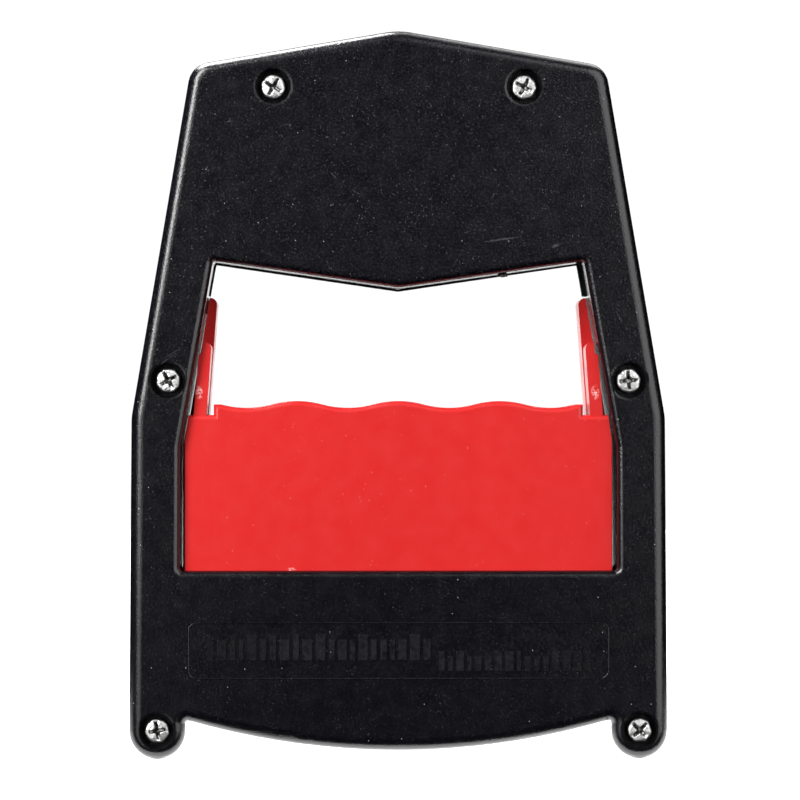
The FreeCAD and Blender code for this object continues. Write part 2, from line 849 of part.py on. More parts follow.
def main_spring(label, x):
    """A closed coil with both ends ground flat between its seat and its cup."""
    wire = "spring_wire"
    coil = doc.addObject("Part::Helix", label + "_path")
    bind(coil, "Radius", f"spring_radius - {wire}")
    bind(coil, "Height", f"cup_seat - seat_high + 2 * {wire}")
    bind(coil, "Pitch", f"(cup_seat - seat_high + 2 * {wire}) / spring_turns")
    section = doc.addObject("Part::Circle", label + "_section")
    bind(section, "Radius", wire)
    section.Placement = Placement(Vector(), Rotation(Vector(1, 0, 0), 90))
    place(section, f"spring_radius - {wire}")
    swept = doc.addObject("Part::Sweep", label + "_swept")
    swept.Sections = [section]
    swept.Spine = (coil, [])
    swept.Solid = True
    swept.Frenet = True
    ground = post(label + "_ground", "spring_radius + overrun", "0",
                  (wire, f"cup_seat - seat_high + {wire}"))
    whole = common(label + "_whole", swept, ground)
    keep(place(whole, x, "0", f"seat_high - {wire}"), label)


def spring_seat(label, x):
    keep(turned(label + "_body", [
        ("rod_radius + rod_gap", "seat_low + seat_floor"),
        ("rod_radius + rod_gap", "spigot_high"),
        ("spigot_radius", "spigot_high"),
        ("spigot_radius", "seat_high"),
        ("seat_radius", "seat_high"),
        ("seat_radius", "seat_low"),
        ("0", "seat_low"),
        ("0", "seat_low + seat_floor"),
    ], "XZ_Plane", x=x), label)


def spring_cup(label, x):
    keep(turned(label + "_body", [
        ("rod_radius + fit_gap", "cup_seat"),
        ("spring_radius + cup_gap", "cup_seat"),
        ("spring_radius + cup_gap", "cup_low"),
        ("cup_outer", "cup_low"),
        ("cup_outer", "core_low"),
        ("rod_radius + fit_gap", "core_low"),
    ], "XZ_Plane", x=x), label)


def guide_rod(label, x):
    keep(turned(label + "_body", [
        ("0", "rod_low"),
        ("rod_radius - rod_chamfer", "rod_low"),
        ("rod_radius", "rod_low + rod_chamfer"),
        ("rod_radius", "rod_high"),
        ("0", "rod_high"),
    ], "XZ_Plane", x=x), label)


def springs():
    for side, x in (("left", "-spring_x"), ("right", "spring_x")):
        main_spring(side + "_main_spring", x)
        spring_seat(side + "_spring_seat", x)
        spring_cup(side + "_spring_cup", x)
        guide_rod(side + "_guide_rod", x)


# ---- strap, rack and pinion ----

def strap():
    """Sheet steel from the -X prong, up the column and across to the rack."""
    lean = "(strap_outer_low - strap_outer_high) / (strap_high - strap_low)"
    tab_high = "strap_low + strap_tab"
    arm_low = "strap_high - strap_arm"
    path = [
        ("strap_foot", "strap_low"),
        ("strap_outer_low", "strap_low"),
        ("strap_outer_high", "strap_high"),
        ("strap_inner", "strap_high"),
        ("strap_inner", "rack_low"),
        ("rack_side", "rack_low"),
        ("rack_side", arm_low),
        (f"strap_outer_high + strap_arm * {lean} - strap_width", arm_low),
        (f"strap_outer_low - strap_tab * {lean} - strap_width", tab_high),
        ("strap_foot", tab_high),
    ]
    sheet_steel = slab("strap_sheet", outline("strap_outline", mirrored(path)),
                       ("strap_back", "strap_front"))
    through = ("strap_back", "strap_front")
    holes = [rod("strap_pin_hole", "pin_radius + press_gap", "-pin_x", "strap_low + strap_tab / 2",
                 through)]
    holes += [rod("strap_rivet_hole", "rivet_radius + press_gap", "-rivet_x", z, through)
              for z in RIVET_HEIGHTS]
    keep(cut("strap", sheet_steel, *holes), "rack_strap")
    keep(rod("pin", "pin_radius", "-pin_x", "strap_low + strap_tab / 2", ("pin_back", "pin_front")),
         "strap_pin")


def rack():
    """Straight teeth on the pinion's -X side; one tooth is level with the pivot at rest."""
    root = f"{PITCH_RADIUS} + gear_dedendum"
    tip = f"{PITCH_RADIUS} - gear_addendum"
    bar = box("rack_bar", ("-rack_side", minus(root)), ("strap_front", "rack_front"),
              ("rack_low", "strap_high"))
    teeth = []
    for step in RACK_STEPS:
        level = f"pivot_z + {step} * {PITCH}"
        path = [
            (minus(root), f"{level} + tooth_half + tooth_flare"),
            (minus(tip), f"{level} + tooth_half - tooth_taper"),
            (minus(tip), f"{level} - tooth_half + tooth_taper"),
            (minus(root), f"{level} - tooth_half - tooth_flare"),
        ]
        teeth.append(slab(f"rack_tooth_{step}", outline(f"rack_tooth_outline_{step}", path),
                          ("strap_front", "rack_front")))
    whole = fuse("rack_whole", bar, *teeth)
    holes = [rod("rack_rivet_hole", "rivet_radius + press_gap", "-rivet_x", z,
                 ("strap_front", "rack_front")) for z in RIVET_HEIGHTS]
    keep(cut("rack", whole, *holes), "drive_rack")
    head = "rivet_head_radius"
    rivets = [turned("rivet", [
        ("0", "strap_back - rivet_head"), (head, "strap_back - rivet_head"), (head, "strap_back"),
        ("rivet_radius", "strap_back"), ("rivet_radius", "rack_front"), (head, "rack_front"),
        (head, "rack_front + rivet_head"), ("0", "rack_front + rivet_head")], x="-rivet_x", z=z)
        for z in RIVET_HEIGHTS]
    keep(group("rivets", rivets), "rack_rivets")


def pinion():
    root = f"{PITCH_RADIUS} - gear_dedendum + fit_gap"
    tip = f"{PITCH_RADIUS} + gear_addendum"
    tooth = [
        (f"{root} - tooth_sunk", "tooth_half + tooth_flare"),
        (tip, "tooth_half - tooth_taper"),
        (tip, "-tooth_half + tooth_taper"),
        (f"{root} - tooth_sunk", "-tooth_half - tooth_flare"),
    ]
    wheel = ribbed_disc("pinion", root, tooth, "gear_teeth", ("pinion_back", "rack_front"), "pivot_z")
    bore = rod("pinion_bore", "arbor_radius + press_gap", "0", "pivot_z",
               ("pinion_back", "rack_front"))
    keep(cut("pinion_bored", wheel, bore), "drive_pinion")


# ---- dial movement ----

def movement():
    plate = box("plate", ("-plate_half", "plate_half"), ("plate_back", "plate_front"),
                ("plate_low", "plate_high"))
    round_plate = round_corners("plate_round", plate, both_sides([
        ("plate_half", "plate_low", "plate_corner"), ("plate_half", "plate_high", "plate_corner")]))
    through = ("plate_back", "plate_front")
    holes = [rod(f"plate_hole_{index}", "small_shank + fit_gap", x, z, through)
             for index, (x, z) in enumerate(PILLARS)]
    holes.append(rod("plate_bush_hole", "bush_radius + press_gap", "0", "pivot_z", through))
    keep(cut("plate_bored", round_plate, *holes), "movement_plate")
    pillars = [turned(f"pillar_{index}", [
        ("small_shank + fit_gap", "plate_front"), ("pillar_radius", "plate_front"),
        ("pillar_radius", "dial_back"), ("small_shank + fit_gap", "dial_back")], x=x, z=z)
        for index, (x, z) in enumerate(PILLARS)]
    keep(group("pillar_set", pillars), "movement_pillars")
    screws = [screw(f"movement_screw_{index}", x, z, "plate_back",
                    "plate_front + movement_screw_reach", "movement_head_radius",
                    "movement_head_height", "small_shank") for index, (x, z) in enumerate(PILLARS)]
    keep(group("movement_screw_set", screws), "movement_screws")
    outer = "-rack_side - guide_gap - guide_width"
    low, high = "pivot_z - guide_drop", "pivot_z - guide_top"
    guide = box("guide_block", (outer, "-rack_side - guide_gap"),
                ("plate_front", "rack_front + guide_gap"), (low, high))
    keep(round_corners("guide_round", guide, [
        (outer, low, "guide_corner"), (outer, high, "guide_corner")]), "rack_guide")


def bush(label, end, flange, flange_end, hole, radius):
    """A flanged bush: its sleeve runs from end to flange, its flange from there to flange_end."""
    keep(turned(label + "_body", [
        (hole, end), (radius, end), (radius, flange), (f"{radius} + flange_rim", flange),
        (f"{radius} + flange_rim", flange_end), (hole, flange_end)], z="pivot_z"), label)


def pointer_work():
    bush("rear_arbor_bush", "plate_back", "plate_front", "plate_front + flange_thick",
         "arbor_radius + fit_gap", "bush_radius")
    bush("front_arbor_bush", "dial_front", "dial_back", "dial_back - flange_thick",
         "arbor_radius + fit_gap", "bush_radius")
    keep(turned("arbor_body", [
        ("0", "plate_back - arbor_end"), ("arbor_radius", "plate_back - arbor_end"),
        ("arbor_radius", "pointer_front + fit_gap"), ("0", "pointer_front + fit_gap")],
        z="pivot_z"), "pointer_arbor")
    keep(turned("hub_body", [
        ("arbor_radius + press_gap", "dial_front + hub_gap"), ("hub_radius", "dial_front + hub_gap"),
        ("hub_radius", "pointer_back"), ("arbor_radius + press_gap", "pointer_back")],
        z="pivot_z"), "pointer_hub")
    keep(pointer("drive", ("pointer_back", "pointer_front"), "arbor_radius + press_gap",
                 "pointer_reach"), "drive_pointer")


def pointer(name, y, hole, reach):
    """A blade on +X with a round eye and a short tail; it tapers towards its tip."""
    path = [("0", "pivot_z + pointer_root"), ("0", "pivot_z - pointer_root"),
            (reach, "pivot_z - pointer_tip"), (reach, "pivot_z + pointer_tip")]
    blade = slab(name + "_blade", outline(name + "_blade_outline", path), y)
    tail = box(name + "_tail", ("-pointer_tail", "0"), y,
               ("pivot_z - pointer_tail_half", "pivot_z + pointer_tail_half"))
    eye = rod(name + "_eye", "pointer_eye", "0", "pivot_z", y)
    whole = fuse(name + "_whole", blade, tail, eye)
    return cut(name + "_drilled", whole, rod(name + "_hole", hole, "0", "pivot_z", y))


def dial():
    y = ("dial_back", "dial_front")
    face = rod("dial_disc", "dial_radius", "0", "pivot_z", y)
    above = box("dial_above", ("-dial_radius", "dial_radius"), y,
                ("pivot_z - dial_drop", "pivot_z + dial_radius + overrun"))
    foot = box("dial_foot", ("-plate_half", "plate_half"), y, ("plate_low", "pivot_z"))
    ears = [rod(f"dial_ear_{index}", "ear_radius", x, z, y)
            for index, (x, z) in enumerate(mirrored_pairs(DIAL_SCREWS))]
    arms = box("dial_arms", ("-low_ear_x", "low_ear_x"), y,
               ("low_ear_z - ear_radius", "low_ear_z + ear_radius"))
    links = []
    for x, name in (("high_ear_x", "right"), ("-high_ear_x", "left")):
        links.append(box("dial_link_" + name, (f"{x} - ear_radius", f"{x} + ear_radius"), y,
                         ("low_ear_z", "high_ear_z")))
    whole = fuse("dial_whole", common("dial_half", face, above), foot, arms, *ears, *links)
    holes = [rod(f"dial_hole_{index}", "small_shank + fit_gap", x, z, y)
             for index, (x, z) in enumerate(mirrored_pairs(DIAL_SCREWS))]
    holes.append(rod("dial_bush_hole", "bush_radius + press_gap", "0", "pivot_z", y))
    keep(cut("dial_drilled", whole, *holes), "dial_plate")
    screws = [screw(f"dial_screw_{index}", x, z, "dial_back", "dial_screw_reach",
                    "dial_head_radius", "dial_head_height", "small_shank")
              for index, (x, z) in enumerate(mirrored_pairs(DIAL_SCREWS))]
    keep(group("dial_screw_set", screws), "dial_screws")


# ---- window and reset knob ----

def window():
    flange = half_disc("lens_plate", "lens_flange", "window_drop + lens_lip",
                       ("lens_back", LENS_FRONT), "window_corner")
    hole = rod("lens_bush_hole", "lens_hole + press_gap", "0", "pivot_z", ("lens_back", LENS_FRONT))
    keep(cut("lens", flange, hole), "window_lens")
    y = (LENS_FRONT, "case_depth")
    ring = half_disc("bezel_outer", "window_radius - fit_gap", "window_drop - fit_gap", y,
                     "window_corner")
    mouth = half_disc("bezel_mouth", "window_radius - bezel_width", "window_drop - bezel_width",
                      y, "window_corner / 2")
    keep(cut("bezel", ring, mouth), "window_bezel")


def peak_work():
    pin = "stem_radius - stem_step"
    bush("lens_bush", LENS_FRONT, "lens_back", "lens_back - clip_thick",
         "stem_radius + fit_gap", "lens_hole")
    keep(turned("washer_body", [
        ("stem_radius + 3 * fit_gap", LENS_FRONT), ("washer_radius", LENS_FRONT),
        ("washer_radius", f"{LENS_FRONT} + washer_thick"),
        ("stem_radius + 3 * fit_gap", f"{LENS_FRONT} + washer_thick")], z="pivot_z"),
        "friction_washer")
    keep(turned("stem_body", [
        ("0", "peak_back - stem_end"), (pin, "peak_back - stem_end"), (pin, "peak_front"),
        ("stem_radius", "peak_front"), ("stem_radius", "knob_back"), ("0", "knob_back")],
        z="pivot_z"), "knob_stem")
    keep(pointer("peak", ("peak_back", "peak_front"), f"{pin} + press_gap", "peak_reach"),
         "peak_pointer")
    keep(turned("clip_body", [
        (f"{pin} + press_gap", "peak_back - clip_thick"), ("clip_radius", "peak_back - clip_thick"),
        ("clip_radius", "peak_back"), (f"{pin} + press_gap", "peak_back")], z="pivot_z"), "stem_clip")
    low, high = "knob_radius - knob_rib_sunk", "knob_radius + knob_rib_rise"
    rib = [(low, "knob_rib_root"), (high, "knob_rib_tip"), (high, "-knob_rib_tip"),
           (low, "-knob_rib_root")]
    keep(ribbed_disc("knob", "knob_radius", rib, "knob_ribs", ("knob_back", "knob_front"),
                     "pivot_z"), "reset_knob")


def check_and_write():
    doc.recompute()
    faults = [f"{thing.Label}: {', '.join(thing.State)}" for thing in doc.Objects
              if "Invalid" in thing.State or "Error" in thing.State]
    for part in nodes:
        shape = part.Shape
        if shape.isNull() or not shape.isValid() or not shape.Solids:
            faults.append(part.Label + ": no valid solid")
    if faults:
        raise RuntimeError("\n".join(faults))
    os.makedirs("parts", exist_ok=True)
    for part in nodes:
        part.Shape.exportStep(f"parts/{part.Label}.step")
        print(f"{part.Label}: {len(part.Shape.Solids)} solids, {part.Shape.Volume:.1f} mm3")


rear_cover()
front_cover()
case_screws()
handle()
handle_screws()
handle_core()
springs()
strap()
rack()
pinion()
movement()
pointer_work()
dial()
window()
peak_work()
check_and_write()
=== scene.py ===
import json
import math
import random

import bmesh
import bpy
from mathutils import Matrix, Vector

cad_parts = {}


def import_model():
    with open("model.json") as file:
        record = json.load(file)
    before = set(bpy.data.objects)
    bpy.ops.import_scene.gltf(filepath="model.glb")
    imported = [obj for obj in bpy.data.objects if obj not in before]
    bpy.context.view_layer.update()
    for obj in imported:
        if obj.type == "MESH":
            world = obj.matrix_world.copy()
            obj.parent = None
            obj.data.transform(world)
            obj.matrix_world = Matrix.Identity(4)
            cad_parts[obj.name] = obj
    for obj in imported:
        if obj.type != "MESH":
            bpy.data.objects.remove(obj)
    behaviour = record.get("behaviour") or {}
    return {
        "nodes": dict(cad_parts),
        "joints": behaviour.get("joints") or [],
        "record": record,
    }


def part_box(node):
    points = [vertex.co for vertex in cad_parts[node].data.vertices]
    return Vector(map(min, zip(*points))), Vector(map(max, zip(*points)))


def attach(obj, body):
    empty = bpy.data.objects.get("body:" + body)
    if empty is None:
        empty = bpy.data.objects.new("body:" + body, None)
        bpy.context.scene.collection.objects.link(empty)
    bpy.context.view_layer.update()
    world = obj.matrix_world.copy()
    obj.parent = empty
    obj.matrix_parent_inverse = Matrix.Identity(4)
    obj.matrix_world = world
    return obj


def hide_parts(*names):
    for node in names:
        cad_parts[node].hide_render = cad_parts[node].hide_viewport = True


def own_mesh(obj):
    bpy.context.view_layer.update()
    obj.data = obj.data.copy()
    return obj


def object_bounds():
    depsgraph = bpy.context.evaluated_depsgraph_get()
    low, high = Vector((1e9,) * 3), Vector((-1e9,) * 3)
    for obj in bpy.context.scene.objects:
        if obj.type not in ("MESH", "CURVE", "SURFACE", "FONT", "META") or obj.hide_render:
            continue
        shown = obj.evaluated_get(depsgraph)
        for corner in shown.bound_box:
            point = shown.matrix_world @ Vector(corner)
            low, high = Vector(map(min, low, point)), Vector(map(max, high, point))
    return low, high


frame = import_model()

CAD_LOW, CAD_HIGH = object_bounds()
MM = 0.001
NODES = frame["nodes"]
JOINTS = {joint["name"]: joint for joint in frame["joints"]}
PIVOT = Vector(JOINTS["pointer_spin"]["pos_m"])
REAR_LOW, REAR_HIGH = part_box("rear_cover")
CENTRE = (CAD_LOW + CAD_HIGH) / 2
scene = bpy.context.scene


def islands(node):
    """The (low, high) box of each separate solid of a CAD node, left to right, top to bottom."""
    graph = bmesh.new()
    graph.from_mesh(NODES[node].data)
    bmesh.ops.remove_doubles(graph, verts=graph.verts, dist=1e-6)
    boxes = []
    left = set(graph.verts)
    while left:
        stack = [left.pop()]
        low = high = stack[0].co.copy()
        while stack:
            vert = stack.pop()
            low = Vector(map(min, low, vert.co))
            high = Vector(map(max, high, vert.co))
            for edge in vert.link_edges:
                other = edge.other_vert(vert)
                if other in left:
                    left.remove(other)
                    stack.append(other)
        boxes.append((low, high))
    graph.free()
    return sorted(boxes, key=lambda pair: (-round(pair[0].z, 3), pair[0].x))


# ---- materials ----

# Sockets of the Mix node that belong to its colour mode.
MIX_FACTOR, MIX_FIRST, MIX_SECOND, MIX_COLOUR = 0, 6, 7, 2


def rgba(red, green, blue):
    return (red, green, blue, 1.0)


class Graph:
    """A short way to write a material's nodes."""

    def __init__(self, name):
        self.material = bpy.data.materials.new(name)
        self.material.use_nodes = True
        self.tree = self.material.node_tree
        self.shader = self.tree.nodes["Principled BSDF"]
        self.place = self.tree.nodes.new("ShaderNodeTexCoord").outputs["Object"]

    def node(self, kind, settings=(), **inputs):
        made = self.tree.nodes.new(kind)
        for prop, setting in dict(settings).items():
            setattr(made, prop, setting)
        for socket, value in inputs.items():
            self.put(made.inputs[socket.replace("_", " ")], value)
        return made

    def put(self, socket, value):
        if isinstance(value, bpy.types.NodeSocket):
            self.tree.links.new(value, socket)
        else:
            socket.default_value = value

    def noise(self, scale, detail=2.0, roughness=0.5, place=None):
        return self.node("ShaderNodeTexNoise", Vector=place or self.place, Scale=scale,
                         Detail=detail, Roughness=roughness).outputs["Fac"]

    def ramp(self, factor, stops):
        """Greys along 0 to 1; stops is a list of (position, grey)."""
        made = self.node("ShaderNodeValToRGB", Fac=factor)
        elements = made.color_ramp.elements
        while len(elements) < len(stops):
            elements.new(0.5)
        for element, (position, grey) in zip(elements, stops):
            element.position = position
            element.color = rgba(grey, grey, grey)
        return made.outputs["Color"]

    def blend(self, factor, first, second):
        """A colour between two; each is a socket or a plain (red, green, blue)."""
        made = self.node("ShaderNodeMix", {"data_type": "RGBA"})
        self.put(made.inputs[MIX_FACTOR], factor)
        for index, shade in ((MIX_FIRST, first), (MIX_SECOND, second)):
            self.put(made.inputs[index], shade if isinstance(shade, bpy.types.NodeSocket) else rgba(*shade))
        return made.outputs[MIX_COLOUR]

    def math(self, operation, first, second=0.0):
        made = self.node("ShaderNodeMath", {"operation": operation})
        self.put(made.inputs[0], first)
        self.put(made.inputs[1], second)
        return made.outputs[0]

    def bump(self, height, distance, strength=1.0, under=None):
        made = self.node("ShaderNodeBump", Height=height, Distance=distance, Strength=strength)
        if under:
            self.put(made.inputs["Normal"], under)
        return made.outputs["Normal"]

    def finish(self, **inputs):
        for socket, value in inputs.items():
            self.put(self.shader.inputs[socket.replace("_", " ")], value)
        return self.material


def any_of(graph, masks):
    """The brightest of several masks."""
    whole = masks[0]
    for mask in masks[1:]:
        whole = graph.math("MAXIMUM", whole, mask)
    return whole


def spot(graph, x, z, half_length, half_width, lean=0.0, soft=0.6):
    """A mask of an ellipse seen along Y, in millimetres, leaning by degrees from the X axis."""
    placed = graph.node("ShaderNodeMapping", {"vector_type": "TEXTURE"}, Vector=graph.place,
                        Location=(x * MM, 0.0, z * MM), Rotation=(0.0, -math.radians(lean), 0.0),
                        Scale=(half_length * MM, 1.0, half_width * MM))
    round_fade = graph.node("ShaderNodeTexGradient", {"gradient_type": "SPHERICAL"},
                            Vector=placed.outputs[0]).outputs["Fac"]
    return graph.ramp(round_fade, [(0.0, 0.0), (soft, 1.0)])


def level(graph, low, high, axis="Z"):
    """0 below the low height and 1 above the high one, in millimetres."""
    parts = graph.node("ShaderNodeSeparateXYZ", Vector=graph.place)
    made = graph.node("ShaderNodeMapRange", Value=parts.outputs[axis], From_Min=low * MM,
                      From_Max=high * MM)
    return made.outputs[0]


# A face looks along Y when its normal's Y is over this.
FACING_Y = 0.7


def dots(graph, spacing, radius, share):
    """Round specks on the faces that look along Y, in millimetres; share is the part of cells with one."""
    parts = graph.node("ShaderNodeSeparateXYZ", Vector=graph.place)
    flat = graph.node("ShaderNodeCombineXYZ", X=parts.outputs["X"], Y=parts.outputs["Z"])
    cells = graph.node("ShaderNodeTexVoronoi", {"voronoi_dimensions": "2D"}, Vector=flat.outputs[0],
                       Scale=1 / (spacing * MM))
    reach = radius / spacing
    near = graph.ramp(cells.outputs["Distance"], [(0.0, 1.0), (reach * 0.5, 1.0), (reach, 0.0)])
    chosen = graph.math("LESS_THAN", cells.outputs["Color"], share)
    facing = graph.node("ShaderNodeSeparateXYZ",
                        Vector=graph.node("ShaderNodeNewGeometry").outputs["True Normal"])
    outward = graph.math("GREATER_THAN", graph.math("ABSOLUTE", facing.outputs["Y"]), FACING_Y)
    return graph.math("MULTIPLY", graph.math("MULTIPLY", near, chosen), outward)


# Black moulding: linear colours, and noise scales in features per metre.
BLACK_DEEP, BLACK_PALE = (0.0016, 0.0014, 0.0026), (0.0024, 0.0021, 0.0036)
FLECK_SHADE = (0.0125, 0.0118, 0.0158)
SPECK_SHADE = (0.13, 0.13, 0.14)
DOT_SHADE = (0.45, 0.45, 0.46)
SCUFF_SHADE = (0.050, 0.049, 0.055)
CLOUD_SCALE, WEAR_SCALE, FLECK_SCALE, SPECK_SCALE = 45.0, 900.0, 2000.0, 2600.0
DOT_SPACING, DOT_RADIUS, DOT_SHARE = 4.2, 0.12, 0.20
# The flecks and specks grow fainter from the upper height (mm) to the lower, down to this share, so the
# face is darker and less grainy towards the bottom.
FLECK_FADE_LOW, FLECK_FADE_HIGH, FLECK_FADE_LEAST = 30.0, 125.0, 0.4
GRAIN_DEPTH, GRAIN_STRENGTH = 0.00014, 0.45
# The raised ring round each counterbore: how far it reaches past the bore (mm), and its bump.
RING_REACH, RING_FADE, RING_DEPTH, RING_STRENGTH = 0.5, 0.11, 0.00030, 0.3


def black_plastic(name, marks=(), scuff_and_highlight_shade=SCUFF_SHADE):
    """Spark-eroded black moulding: fine grain, small bright specks, soft wear patches and scuffs; on the
    raised wording the lighter patches are a painted highlight.
    """
    graph = Graph(name)
    # Flecks and specks are strongest high up and fainter lower down.
    rise = graph.math("MULTIPLY", level(graph, FLECK_FADE_LOW, FLECK_FADE_HIGH), 1 - FLECK_FADE_LEAST)
    fleck_fade = graph.math("ADD", rise, FLECK_FADE_LEAST)
    cloud = graph.ramp(graph.noise(CLOUD_SCALE, 3.0), [(0.3, 0.0), (0.75, 1.0)])
    shade = graph.blend(cloud, BLACK_DEEP, BLACK_PALE)
    fleck = graph.ramp(graph.noise(FLECK_SCALE, 2.0, 0.7), [(0.54, 0.0), (0.60, 1.0)])
    shade = graph.blend(graph.math("MULTIPLY", fleck, fleck_fade), shade, FLECK_SHADE)
    speck = graph.ramp(graph.noise(SPECK_SCALE, 1.0), [(0.70, 0.0), (0.77, 1.0)])
    sparse = graph.ramp(graph.noise(160.0, 2.0), [(0.35, 0.15), (0.7, 1.0)])
    amount = graph.math("MULTIPLY", graph.math("MULTIPLY", speck, sparse), fleck_fade)
    shade = graph.blend(amount, shade, SPECK_SHADE)
    shade = graph.blend(dots(graph, DOT_SPACING, DOT_RADIUS, DOT_SHARE), shade, DOT_SHADE)
    grain = graph.bump(graph.noise(FLECK_SCALE, 3.0, 0.6), GRAIN_DEPTH, GRAIN_STRENGTH)
    if marks:
        reach = COUNTERBORE + RING_REACH
        for x, z in COUNTERBORES:
            edge = spot(graph, x, z, reach, reach, soft=RING_FADE)
            ring = graph.math("SUBTRACT", 1.0, edge)
            grain = graph.bump(ring, RING_DEPTH, RING_STRENGTH, grain)
        # Lighter shade over the marks: real scuffs on the rear cover, patchy painted highlights on the
        # wording.
        scuff_and_highlight_area = any_of(graph, [spot(graph, *mark) for mark in marks])
        scuff_and_highlight_breakup = graph.ramp(graph.noise(WEAR_SCALE, 3.0), [(0.35, 0.2), (0.6, 1.0)])
        shade = graph.blend(graph.math("MULTIPLY", scuff_and_highlight_area, scuff_and_highlight_breakup), shade, scuff_and_highlight_shade)
    rough = graph.ramp(graph.noise(300.0, 2.0), [(0.3, 0.20), (0.7, 0.26)])
    return graph.finish(Base_Color=shade, Roughness=rough, Normal=grain, Specular_IOR_Level=0.6)


# Red moulding: linear colours.
RED_DEEP, RED_PALE = (0.54, 0.0155, 0.0150), (0.57, 0.0170, 0.0165)
RED_SPECK_SHADE = (0.80, 0.25, 0.23)
TORN_SHADE = (0.90, 0.42, 0.40)
FLOW_STRETCH = 0.35
RED_SPECK_STRENGTH = 0.35


def red_plastic():
    """Smooth red moulding with faint flow marks, a finer grain and its gate marks."""
    graph = Graph("red_plastic")
    stretched = graph.node("ShaderNodeMapping", Vector=graph.place, Scale=(1.0, 1.0, FLOW_STRETCH))
    flow = graph.ramp(graph.noise(38.0, 3.0, place=stretched.outputs[0]), [(0.3, 0.0), (0.7, 1.0)])
    shade = graph.blend(flow, RED_DEEP, RED_PALE)
    speck = graph.ramp(graph.noise(1500.0, 1.0), [(0.76, 0.0), (0.80, 1.0)])
    shade = graph.blend(graph.math("MULTIPLY", speck, RED_SPECK_STRENGTH), shade, RED_SPECK_SHADE)
    scars = any_of(graph, [spot(graph, *mark) for mark in RED_MARKS])
    torn = graph.ramp(graph.noise(2000.0, 4.0, 0.7), [(0.49, 0.0), (0.55, 1.0)])
    shade = graph.blend(graph.math("MULTIPLY", scars, torn), shade, TORN_SHADE)
    ripple = graph.bump(graph.noise(160.0, 2.0), 0.00005, 0.12)
    grain = graph.bump(graph.noise(2600.0, 2.0), 0.00003, 0.25, ripple)
    rough = graph.ramp(graph.noise(210.0, 2.0), [(0.3, 0.28), (0.7, 0.36)])
    return graph.finish(Base_Color=shade, Roughness=rough, Normal=grain)


RECESS_PAINTED_SHADOW = (0.03, 0.03, 0.028)


def metal(name, dark, light, roughness, scale=900.0, bump=0.00002, shadow=None):
    """Metal with fine uneven brightness; shadow is the pair of y (mm) over which a painted shadow darkens
    its recesses, with lighter spots left as painted glints.
    """
    graph = Graph(name)
    patch = graph.ramp(graph.noise(scale, 4.0, 0.65), [(0.32, 0.0), (0.68, 1.0)])
    shade = graph.blend(patch, dark, light)
    if shadow:
        # Painted shadow in the recesses, broken by lighter painted glints.
        painted_glint = graph.ramp(graph.noise(1400.0, 2.0), [(0.50, 1.0), (0.60, 0.35)])
        painted_recess_shadow = graph.math("MULTIPLY", level(graph, *shadow, axis="Y"), painted_glint)
        shade = graph.blend(painted_recess_shadow, shade, RECESS_PAINTED_SHADOW)
    rough = graph.ramp(graph.noise(scale * 0.6, 3.0), [(0.3, roughness * 0.8), (0.7, roughness * 1.3)])
    grain = graph.bump(graph.noise(scale * 1.6, 3.0), bump, 0.5)
    return graph.finish(Base_Color=shade, Roughness=rough, Normal=grain, Metallic=1.0)


def paint(name, dark, light, roughness):
    graph = Graph(name)
    shade = graph.blend(graph.noise(120.0, 3.0), dark, light)
    grain = graph.bump(graph.noise(1800.0, 2.0), 0.00001, 0.3)
    rough = graph.ramp(graph.noise(500.0, 2.0), [(0.3, roughness * 0.9), (0.7, roughness * 1.1)])
    return graph.finish(Base_Color=shade, Roughness=rough, Normal=grain)


def clear_acrylic():
    graph = Graph("clear_acrylic")
    ripple = graph.bump(graph.noise(30.0, 1.0), 0.00005, 0.1)
    smear = graph.ramp(graph.noise(90.0, 4.0), [(0.4, 0.03), (0.8, 0.09)])
    return graph.finish(Base_Color=rgba(0.9, 0.95, 1.0), Roughness=smear, Normal=ripple, Alpha=0.16)


def floor_paint():
    graph = Graph("studio_floor")
    shade = graph.blend(graph.noise(3.0, 2.0), (0.86, 0.86, 0.86), (0.89, 0.89, 0.89))
    return graph.finish(Base_Color=shade, Roughness=0.9, Emission_Color=rgba(1.0, 1.0, 1.0),
                        Emission_Strength=1.0)


# The counterbore's radius, and the centre of each as (x, z), in millimetres.
COUNTERBORE = 4.2
COUNTERBORES = tuple(((low.x + high.x) / 2 / MM, (low.z + high.z) / 2 / MM)
                     for low, high in islands("case_screws"))
